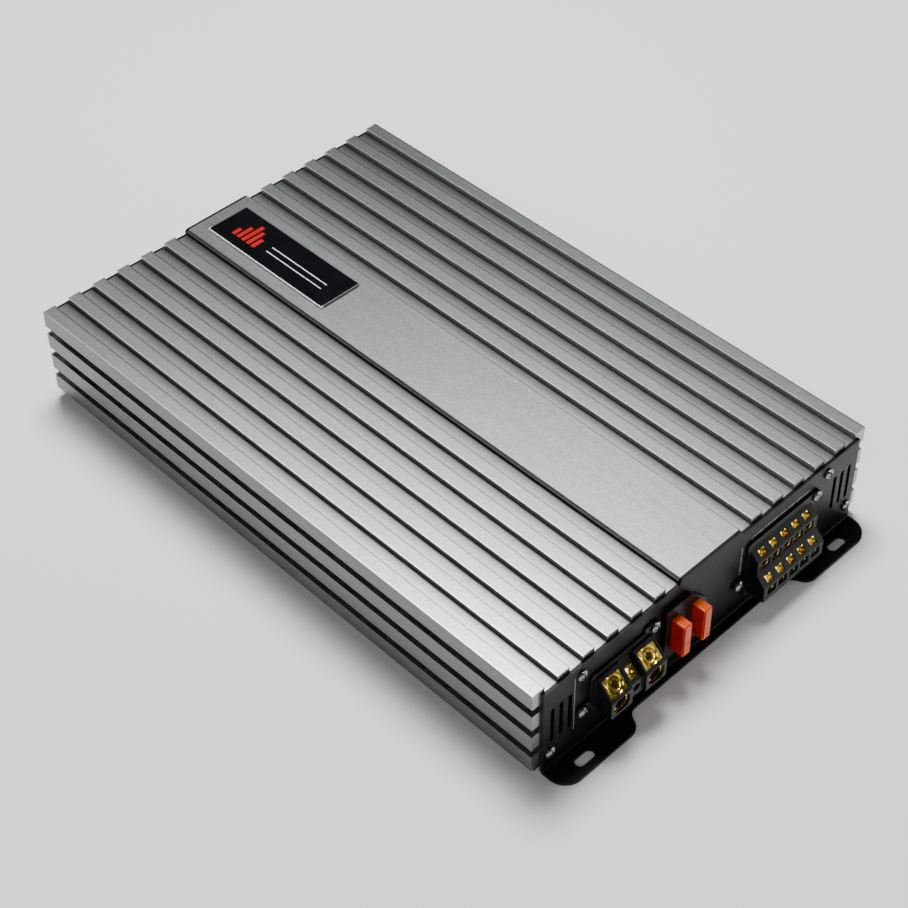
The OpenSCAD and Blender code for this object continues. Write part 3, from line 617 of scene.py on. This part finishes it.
black = powder_black()
block = moulded("block_nylon", (0.003, 0.003, 0.0035), (0.008, 0.008, 0.009), 0.3, shine=0.16)
zinc = metal("zinc_plate", (0.55, 0.56, 0.55), (0.78, 0.78, 0.76), 0.25)
black_zinc = metal("black_zinc", (0.14, 0.14, 0.14), (0.34, 0.34, 0.34), 0.24)
bright = metal(
    "badge_bright", (0.85, 0.86, 0.86), (0.97, 0.97, 0.97), 0.4,
    streaks=(0.05, 1, 1), grain=900, metallic=0.3)
gold = metal("gold_plate", (0.5, 0.31, 0.02), (0.93, 0.74, 0.16), 0.15)
print_grey = moulded("print_grey", (0.2, 0.2, 0.2), (0.34, 0.34, 0.34), 0.5)
brass = metal("turned_brass", (0.55, 0.4, 0.14), (0.75, 0.58, 0.25), 0.3)
copper = metal("enamelled_copper", (0.38, 0.13, 0.05), (0.62, 0.25, 0.1), 0.28)
nickel = metal("nickel_plate", (0.62, 0.6, 0.56), (0.8, 0.78, 0.74), 0.2)
red = moulded("badge_red", (0.36, 0.003, 0.004), (0.46, 0.006, 0.008), 0.4, grain=0.1, shine=0.1)

dress(["heatsink"], blasted_aluminium_painted_light(), 0.5, segments=3, angle=40)
dress(["terminal_end_plate", "control_end_plate"], black, 0.25)
dress(["bottom_plate"], black)
dress(["end_plate_screws", "bottom_plate_screws", "terminal_fixing_screws"], black_zinc, 0.12)
dress(["board_screws", "clamp_bars", "clamp_bar_screws", "pot_bodies", "switch_frames"], zinc)
dress(["badge_frame"], badge_rim(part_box("badge_face")[0].y), 0.18)
dress(["badge_face"], gloss_black(), 0.1)
dress(["power_terminal_block", "speaker_terminal_block", "fuse_holder"], block, 0.2)
dress(["power_contacts", "speaker_contacts"], gold, 0.15)
dress(["fuse_clips"], gold)
dress(["battery_screw", "remote_screw", "ground_screw"], gold, 0.15)
dress([f"speaker_screw_{i + 1}" for i in range(10)], gold, 0.15)
dress(["fuse_1_body", "fuse_2_body"], fuse_plastic(), 0.3)
dress(["fuse_1_blades", "fuse_2_blades"], zinc, 0.1)
dress(["circuit_board"], board_mask())
dress(["board_standoffs"], brass)
ferrite = moulded("ferrite", (0.02, 0.02, 0.022), (0.05, 0.05, 0.052), 0.6)
dress(["toroid_core", "inductor_cores"], ferrite)
dress(["toroid_winding", "inductor_windings", "bus_bars"], copper)
dress(["filter_capacitors"], moulded("sleeve_blue", (0.01, 0.014, 0.06), (0.02, 0.03, 0.12), 0.3))
dress(["power_transistors"], moulded("epoxy_black", (0.01, 0.01, 0.01), (0.022, 0.022, 0.022), 0.5))
dress(["insulating_pads"], moulded("silicone_grey", (0.35, 0.36, 0.37), (0.48, 0.49, 0.5), 0.7))
dress(["rca_block"], block)
dress(["rca_shells"], nickel, 0.15)
dress(["rca_insulators"], jack_plastic(middle_of("rca_insulators")[0]), 0.1)
dress(knobs, moulded("knob_black", (0.012, 0.012, 0.013), (0.025, 0.025, 0.027), 0.45), 0.2)
dress(sliders, moulded("slider_white", (0.6, 0.6, 0.57), (0.72, 0.72, 0.69), 0.4), 0.2)
dress(["indicator_lenses"], moulded("lens_blue", (0.1, 0.25, 0.5), (0.2, 0.4, 0.7), 0.15), 0.1)

badge_motif(red, bright)
terminal_marks(print_grey)
control_marks(print_grey)
knob_pointers(moulded("pointer_white", (0.7, 0.7, 0.68), (0.8, 0.8, 0.78), 0.4))
